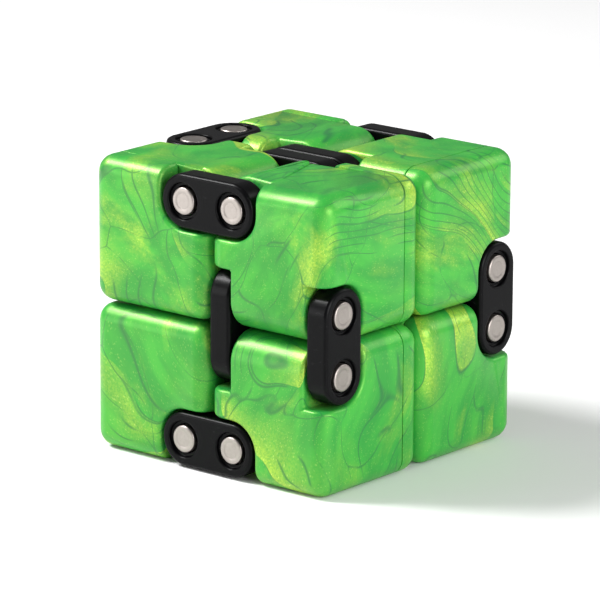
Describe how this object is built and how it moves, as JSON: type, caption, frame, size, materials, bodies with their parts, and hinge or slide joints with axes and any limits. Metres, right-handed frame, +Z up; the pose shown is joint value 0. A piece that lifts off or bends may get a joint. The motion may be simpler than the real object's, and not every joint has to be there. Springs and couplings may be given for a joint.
{
  "type": "folding fidget cube",
  "caption": "Pocket fidget toy: small marbled plastic cubes joined edge to edge in a ring by double-pivot link hinges with steel pins, folding over itself without end.",
  "frame": {"origin": "middle of the underside of the closed block, on the surface that it rests on", "axes": "+Z up; -Y and +X out of the two side faces that show hinge plates, with the hinge plates of the top along Y"},
  "size_m": [0.04, 0.04, 0.04],
  "materials": {
    "green_plastic": "marbled pearl green, satin gloss",
    "black_plastic": "satin black",
    "steel": "turned ends, satin"
  },
  "bodies": {
    "front_right_column": {"lower_front_shell": "green_plastic", "lower_front_cap": "green_plastic", "side_front_outer_link": "black_plastic", "side_front_inner_link": "black_plastic", "side_front_pin_upper_front": "steel", "side_front_pin_lower_front": "steel", "upper_front_shell": "green_plastic", "upper_front_cap": "green_plastic"},
    "back_right_column": {"lower_right_shell": "green_plastic", "lower_right_cap": "green_plastic", "side_back_outer_link": "black_plastic", "side_back_inner_link": "black_plastic", "side_back_pin_lower_right": "steel", "side_back_pin_upper_right": "steel", "upper_right_shell": "green_plastic", "upper_right_cap": "green_plastic"},
    "upper_left": {"upper_left_shell": "green_plastic", "upper_left_cap": "green_plastic"},
    "upper_back": {"upper_back_shell": "green_plastic", "upper_back_cap": "green_plastic"},
    "lower_left": {"lower_left_shell": "green_plastic", "lower_left_cap": "green_plastic"},
    "lower_back": {"lower_back_shell": "green_plastic", "lower_back_cap": "green_plastic"},
    "top_front_links": {"top_front_outer_link": "black_plastic", "top_front_inner_link": "black_plastic", "top_front_pin_upper_left": "steel", "top_front_pin_upper_front": "steel"},
    "bottom_front_links": {"bottom_front_outer_link": "black_plastic", "bottom_front_inner_link": "black_plastic", "bottom_front_pin_lower_front": "steel", "bottom_front_pin_lower_left": "steel"},
    "left_lower_links": {"left_lower_outer_link": "black_plastic", "left_lower_inner_link": "black_plastic", "left_lower_pin_lower_left": "steel", "left_lower_pin_lower_back": "steel"},
    "bottom_back_links": {"bottom_back_outer_link": "black_plastic", "bottom_back_inner_link": "black_plastic", "bottom_back_pin_lower_back": "steel", "bottom_back_pin_lower_right": "steel"},
    "top_back_links": {"top_back_outer_link": "black_plastic", "top_back_inner_link": "black_plastic", "top_back_pin_upper_right": "steel", "top_back_pin_upper_back": "steel"},
    "left_upper_links": {"left_upper_outer_link": "black_plastic", "left_upper_inner_link": "black_plastic", "left_upper_pin_upper_back": "steel", "left_upper_pin_upper_left": "steel"}
  },
  "joints": [
    {"name": "book_fold", "type": "hinge", "parent": "lower_left", "child": "left_lower_links", "pos_m": [-0.01605, -0.0041, 0.00992], "axis": [0, 0, 1], "range_deg": [0, 90]},
    {"name": "upper_fold", "type": "hinge", "parent": "front_right_column", "child": "top_front_links", "pos_m": [0.0041, -0.01008, 0.03605], "axis": [0, 1, 0], "range_deg": [0, 90]},
    {"name": "lower_fold", "type": "hinge", "parent": "front_right_column", "child": "bottom_front_links", "pos_m": [0.0041, -0.01008, 0.00395], "axis": [0, -1, 0], "range_deg": [0, 90]},
    {"name": "left_lower_far_pivot", "type": "hinge", "parent": "left_lower_links", "child": "lower_back", "pos_m": [-0.01605, 0.0041, 0.00992], "axis": [0, 0, 1], "range_deg": [0, 90]},
    {"name": "left_upper_near_pivot", "type": "hinge", "parent": "upper_left", "child": "left_upper_links", "pos_m": [-0.01605, -0.0041, 0.03008], "axis": [0, 0, 1], "range_deg": [0, 90]},
    {"name": "top_front_far_pivot", "type": "hinge", "parent": "top_front_links", "child": "upper_left", "pos_m": [-0.0041, -0.01008, 0.03605], "axis": [0, 1, 0], "range_deg": [0, 90]},
    {"name": "top_back_near_pivot", "type": "hinge", "parent": "back_right_column", "child": "top_back_links", "pos_m": [0.0041, 0.01008, 0.03605], "axis": [0, 1, 0], "range_deg": [0, 90]},
    {"name": "top_back_far_pivot", "type": "hinge", "parent": "top_back_links", "child": "upper_back", "pos_m": [-0.0041, 0.01008, 0.03605], "axis": [0, 1, 0], "range_deg": [0, 90]},
    {"name": "bottom_front_far_pivot", "type": "hinge", "parent": "bottom_front_links", "child": "lower_left", "pos_m": [-0.0041, -0.01008, 0.00395], "axis": [0, -1, 0], "range_deg": [0, 90]},
    {"name": "bottom_back_near_pivot", "type": "hinge", "parent": "lower_back", "child": "bottom_back_links", "pos_m": [-0.0041, 0.01008, 0.00395], "axis": [0, 1, 0], "range_deg": [0, 90]},
    {"name": "bottom_back_far_pivot", "type": "hinge", "parent": "bottom_back_links", "child": "back_right_column", "pos_m": [0.0041, 0.01008, 0.00395], "axis": [0, 1, 0], "range_deg": [0, 90]}
  ],
  "couplings": [
    {"joint": "left_lower_far_pivot", "follows": "book_fold", "ratio": 1},
    {"joint": "left_upper_near_pivot", "follows": "book_fold", "ratio": 1},
    {"joint": "top_front_far_pivot", "follows": "upper_fold", "ratio": 1},
    {"joint": "top_back_near_pivot", "follows": "upper_fold", "ratio": 1},
    {"joint": "top_back_far_pivot", "follows": "upper_fold", "ratio": 1},
    {"joint": "bottom_front_far_pivot", "follows": "lower_fold", "ratio": 1},
    {"joint": "bottom_back_near_pivot", "follows": "lower_fold", "ratio": 1},
    {"joint": "bottom_back_far_pivot", "follows": "lower_fold", "ratio": 1}
  ]
}
